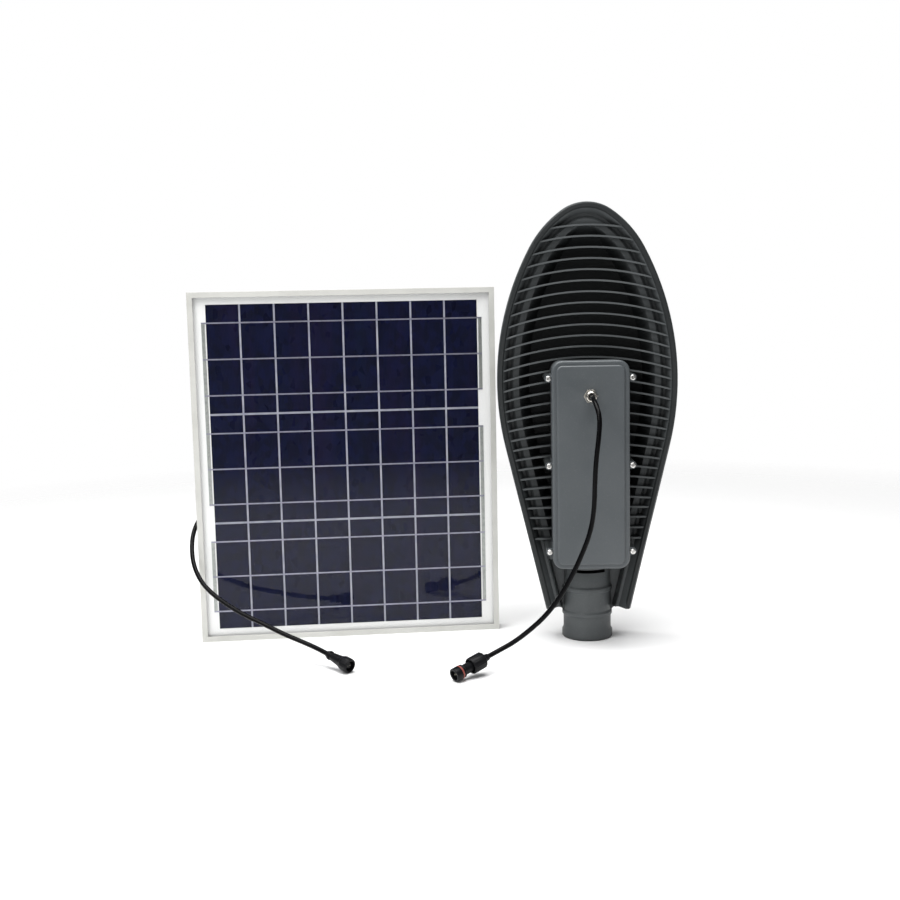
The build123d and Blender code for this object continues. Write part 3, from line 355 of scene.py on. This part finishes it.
def clear_sheet(name, tint, gloss_roughness, reflect):
    """Clear glass or plastic: light passes straight through and only the outer gloss shows."""
    paint = Paint(name, tint, gloss_roughness)
    nodes = paint.tree.nodes
    clear = paint.add("ShaderNodeBsdfTransparent", Color=(*tint, 1.0))
    gloss = paint.add("ShaderNodeBsdfGlossy", Roughness=gloss_roughness)
    fresnel = paint.add("ShaderNodeFresnel", IOR=GLASS_IOR)
    ripple = paint.add("ShaderNodeBump", Strength=0.04, Distance=0.0003)
    paint.link(paint.noise(120.0, 2.0), ripple.inputs["Height"])
    paint.link(ripple.outputs["Normal"], gloss.inputs["Normal"])
    mix = paint.add("ShaderNodeMixShader")
    outside = paint.math("SUBTRACT", 1.0, paint.add("ShaderNodeNewGeometry").outputs["Backfacing"])
    share = paint.math("MULTIPLY", fresnel.outputs["Fac"], paint.math("MULTIPLY", outside, reflect))
    paint.link(share, mix.inputs[0])
    paint.link(clear.outputs[0], mix.inputs[1])
    paint.link(gloss.outputs[0], mix.inputs[2])
    paint.link(mix.outputs[0], nodes["Material Output"].inputs["Surface"])
    nodes.remove(paint.shader)
    return paint.material


# The film's own white, and the painted shade it takes inside the cell area.
FILM_WHITE = (0.83, 0.835, 0.825)
FILM_SHADED = (0.25, 0.26, 0.33)


def laminate_film(name):
    """White rear film, with painted shade that makes it greyer between the cells than round their edge.
    """
    paint = Paint(name, FILM_WHITE, 0.5)
    low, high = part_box("solar_cells")
    axes = paint.add("ShaderNodeSeparateXYZ")
    paint.link(paint.place, axes.inputs["Vector"])
    inside = 1.0
    for axis in (0, 2):
        middle = (low[axis] + high[axis]) / 2
        half = (high[axis] - low[axis]) / 2
        offset = paint.math("ABSOLUTE", paint.math("SUBTRACT", axes.outputs[axis], middle))
        inside = paint.math("MULTIPLY", inside, paint.math("LESS_THAN", offset, half))
    shade = paint.span(paint.noise(60.0, 3.0), 0.75, 1.0, 0.3, 0.7)
    # Painted shade: the film is greyed inside the cell area, where it shows between the cells.
    paint.colour(paint.blend(paint.math("MULTIPLY", inside, shade), FILM_WHITE, FILM_SHADED))
    return paint.material


def led_phosphor(name):
    paint = Paint(name, (0.80, 0.56, 0.08), 0.35)
    cloud = paint.span(paint.noise(700.0, 3.0), 0.0, 1.0, 0.3, 0.7)
    paint.colour(paint.blend(cloud, (0.78, 0.50, 0.05), (0.88, 0.68, 0.16)))
    paint.set(Coat_Weight=0.6)
    return paint.material


def board_mask(name, base, trace):
    """Circuit board: solder mask over faint raised tracks."""
    paint = Paint(name, base, 0.35)
    tracks = paint.add("ShaderNodeTexBrick", Scale=60.0)
    tracks.inputs["Mortar Size"].default_value = 0.02
    paint.link(paint.place, tracks.inputs["Vector"])
    paint.colour(paint.blend(tracks.outputs["Fac"], base, trace))
    paint.roughness(paint.span(paint.noise(80.0, 4.0), 0.28, 0.45, 0.3, 0.7))
    paint.bump(tracks.outputs["Fac"], 0.2, 0.0001)
    return paint.material


def make_materials():
    """One procedural material for each slot of the record, and a duller one for the side ribbons."""
    return {
        "housing": cast_housing("housing", (0.074, 0.081, 0.084), (0.092, 0.099, 0.102), 0.42),
        "cover": powder_coat("cover", (0.062, 0.071, 0.077), (0.074, 0.083, 0.089), 0.38, 800.0, 0.04),
        "face_trim": powder_coat("face_trim", (0.080, 0.085, 0.090), (0.100, 0.106, 0.112), 0.45),
        "rubber": rubber("rubber", (0.012, 0.012, 0.012), (0.030, 0.030, 0.030)),
        "o_ring": rubber("o_ring", (0.20, 0.035, 0.025), (0.34, 0.08, 0.06), 0.5),
        "screw_steel": plated("screw_steel", (0.74, 0.73, 0.71), (0.48, 0.47, 0.45), 0.28),
        "nickel": plated("nickel", (0.80, 0.76, 0.69), (0.56, 0.52, 0.46), 0.22),
        "aluminium_board": board_mask("aluminium_board", (0.80, 0.80, 0.78), (0.62, 0.62, 0.60)),
        "led_yellow": led_phosphor("led_yellow"),
        "clear_plastic": clear_sheet("clear_plastic", (0.97, 0.985, 0.98), 0.06, 0.9),
        "lamp_glass": clear_sheet("lamp_glass", (0.93, 0.97, 0.955), 0.03, 1.0),
        "driver_case": plated("driver_case", (0.70, 0.71, 0.72), (0.55, 0.56, 0.57), 0.4),
        "battery_wrap": moulded("battery_wrap", (0.04, 0.14, 0.40), (0.06, 0.18, 0.46), 0.3),
        "contact_metal": plated("contact_metal", (0.80, 0.76, 0.62), (0.60, 0.55, 0.42), 0.3),
        "holder_plastic": moulded("holder_plastic", (0.022, 0.022, 0.022), (0.035, 0.035, 0.035), 0.5),
        "circuit_board": board_mask("circuit_board", (0.015, 0.13, 0.055), (0.03, 0.19, 0.08)),
        "component_black": moulded("component_black", (0.018, 0.018, 0.018), (0.03, 0.03, 0.03), 0.4),
        "terminal_green": moulded("terminal_green", (0.03, 0.24, 0.09), (0.05, 0.30, 0.12), 0.45),
        "frame_white": anodised("frame_white", (0.57, 0.57, 0.54), (0.48, 0.48, 0.45), 0.38),
        "raw_aluminium": plated("raw_aluminium", (0.78, 0.78, 0.78), (0.62, 0.62, 0.62), 0.4),
        "panel_glass": clear_sheet("panel_glass", (1.0, 1.0, 1.0), 0.04, 0.60),
        "film": laminate_film("film"),
        "backsheet": moulded("backsheet", (0.90, 0.905, 0.90), (0.86, 0.865, 0.86), 0.5),
        "silicon": crystal_cells("silicon"),
        "ribbon": plated("ribbon", (0.34, 0.34, 0.42), (0.25, 0.25, 0.32), 0.42),
        "bus_ribbon": plated("bus_ribbon", (0.42, 0.44, 0.42), (0.30, 0.32, 0.31), 0.45),
        "box_plastic": moulded("box_plastic", (0.022, 0.022, 0.024), (0.034, 0.034, 0.036), 0.45),
        "cable_sheath": rubber(
            "cable_sheath", (0.0015, 0.0015, 0.0018), (0.003, 0.003, 0.0036), 0.22, 0.09
        ),
        "plug_plastic": moulded(
            "plug_plastic", (0.004, 0.004, 0.005), (0.008, 0.008, 0.009), 0.34, shine=0.12
        ),
    }


# ---- Edges of the CAD pieces: bevel widths in millimetres ----
SHARP = math.radians(32.0)
WELD_DISTANCE = 1e-6
BEVEL_SEGMENTS = 2
EDGE = {
    "head_housing": 0.5, "rear_cover": 0.3, "front_bezel": 0.3, "driver_bay_cover": 0.3,
    "frame_bottom_rail": 0.35, "frame_top_rail": 0.35,
    "junction_box_base": 0.3, "junction_box_lid": 0.25, "union_nut": 0.25, "head_plug_body": 0.25,
    "panel_plug_body": 0.25, "gland_body": 0.2, "gland_nut": 0.2, "junction_box_gland": 0.25,
    "lower_pole_bolt": 0.2, "upper_pole_bolt": 0.2, "rear_cover_screws": 0.12, "front_screws": 0.1,
    "front_glass": 0.2, "led_driver": 0.4, "gland_lock_nut": 0.15,
}


def soften(node, width):
    """Join a CAD node's split vertices and round its sharp edges a little, without touching its mesh."""
    piece = NODES[node]
    weld = piece.modifiers.new("weld", "WELD")
    weld.merge_threshold = WELD_DISTANCE
    bevel = piece.modifiers.new("bevel", "BEVEL")
    bevel.width = width * MM
    bevel.segments = BEVEL_SEGMENTS
    bevel.limit_method = "ANGLE"
    bevel.angle_limit = SHARP
    bevel.use_clamp_overlap = True
    bevel.harden_normals = False


def dress_nodes(materials):
    """Give each CAD node its slot's material and soften the edges that show."""
    slot_of = {part["node"]: part["material_slot"] for part in frame["record"]["subparts"]}
    slot_of["bus_ribbons"] = "bus_ribbon"
    for name, piece in NODES.items():
        piece.data.materials.clear()
        piece.data.materials.append(materials[slot_of[name]])
        if name in EDGE:
            soften(name, EDGE[name])


# ---- Panel's rear film, white to its edge behind the cells ----
FILM_LIFT = 0.05


def rear_film(materials):
    """The laminate's rear film as a thin sheet just in front of the backsheet."""
    low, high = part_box("panel_backsheet")
    front = low[1] - FILM_LIFT * MM
    back = low[1]
    mesh = bpy.data.meshes.new("rear_film")
    shape = bmesh.new()
    bmesh.ops.create_cube(shape, size=1.0)
    size = (high[0] - low[0], back - front, high[2] - low[2])
    middle = ((low[0] + high[0]) / 2, (front + back) / 2, (low[2] + high[2]) / 2)
    bmesh.ops.scale(shape, vec=size, verts=shape.verts)
    bmesh.ops.translate(shape, vec=middle, verts=shape.verts)
    shape.to_mesh(mesh)
    shape.free()
    mesh.materials.append(materials["film"])
    piece = bpy.data.objects.new("rear_film", mesh)
    bpy.context.scene.collection.objects.link(piece)
    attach(piece, "panel_unit")
    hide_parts("encapsulant_films")


# ---- Floor and light ----
FLOOR_RADIUS = 2.2
FLOOR_SOLID = 0.9
FLOOR_SIDES = 96
FLOOR_FADED = 0.95
FLOOR_WHITE = (0.95, 0.95, 0.95)
BACKGROUND = 1.0
FILL = 0.32
MIRRORED = 0.14
# Softboxes: name, place, target, size and power.
SOFTBOXES = (
    ("top", (-0.2, -0.25, 2.3), (0.0, -0.05, 0.0), (2.4, 1.5), 82.0),
    ("key", (-1.5, -1.35, 2.0), (-0.1, 0.0, 0.3), (1.0, 1.0), 24.0),
    ("left card", (-1.05, -1.8, 0.35), (-0.25, 0.06, 0.3), (0.8, 1.3), 4.0),
)


def make_floor():
    """A white paper disc that fades into the white background."""
    mesh = bpy.data.meshes.new("floor")
    shape = bmesh.new()
    bmesh.ops.create_circle(shape, cap_ends=True, segments=FLOOR_SIDES, radius=FLOOR_RADIUS)
    shape.to_mesh(mesh)
    shape.free()
    floor = bpy.data.objects.new("floor", mesh)
    bpy.context.scene.collection.objects.link(floor)
    paint = Paint("floor_paper", FLOOR_WHITE, 0.9)
    paint.set(Specular_IOR_Level=0.1)
    length = paint.add("ShaderNodeVectorMath", operation="LENGTH")
    paint.link(paint.place, length.inputs[0])
    fade = paint.span(length.outputs["Value"], 0.0, 1.0, FLOOR_SOLID, FLOOR_RADIUS * FLOOR_FADED)
    clear = paint.add("ShaderNodeBsdfTransparent")
    mix = paint.add("ShaderNodeMixShader")
    paint.link(fade, mix.inputs[0])
    paint.link(paint.shader.outputs[0], mix.inputs[1])
    paint.link(clear.outputs[0], mix.inputs[2])
    paint.link(mix.outputs[0], paint.tree.nodes["Material Output"].inputs["Surface"])
    mesh.materials.append(paint.material)


def area_light(name, point, target, size, power):
    data = bpy.data.lights.new(name, "AREA")
    data.shape = "RECTANGLE"
    data.size, data.size_y = size
    data.energy = power
    light = bpy.data.objects.new(name, data)
    bpy.context.scene.collection.objects.link(light)
    aim = mathutils.Vector(target) - mathutils.Vector(point)
    light.location = point
    light.rotation_euler = aim.to_track_quat("-Z", "Y").to_euler()


def make_light():
    """White surroundings, dimmer as a light and in reflections than as a background, and softboxes."""
    world = bpy.data.worlds.new("studio")
    world.use_nodes = True
    tree = world.node_tree
    sky = tree.nodes["Background"]
    sky.inputs["Color"].default_value = (1.0, 1.0, 1.0, 1.0)
    path = tree.nodes.new("ShaderNodeLightPath")
    mirrored = tree.nodes.new("ShaderNodeMapRange")
    mirrored.inputs["To Min"].default_value = FILL
    mirrored.inputs["To Max"].default_value = MIRRORED
    tree.links.new(path.outputs["Is Glossy Ray"], mirrored.inputs["Value"])
    seen = tree.nodes.new("ShaderNodeMapRange")
    seen.inputs["To Max"].default_value = BACKGROUND
    tree.links.new(mirrored.outputs["Result"], seen.inputs["To Min"])
    tree.links.new(path.outputs["Is Camera Ray"], seen.inputs["Value"])
    tree.links.new(seen.outputs["Result"], sky.inputs["Strength"])
    bpy.context.scene.world = world
    for softbox in SOFTBOXES:
        area_light(*softbox)
    bpy.context.scene.view_settings.view_transform = "Standard"


def main():
    make_camera()
    materials = make_materials()
    dress_nodes(materials)
    rear_film(materials)
    sheath = materials["cable_sheath"]
    cable(
        "head_cable_cord", HEAD_ROUTE, "lamp_head", "head_cable", sheath,
    )
    cable(
        "panel_cable_cord", PANEL_ROUTE, "panel_unit", "panel_cable", sheath,
    )
    make_floor()
    make_light()


main()
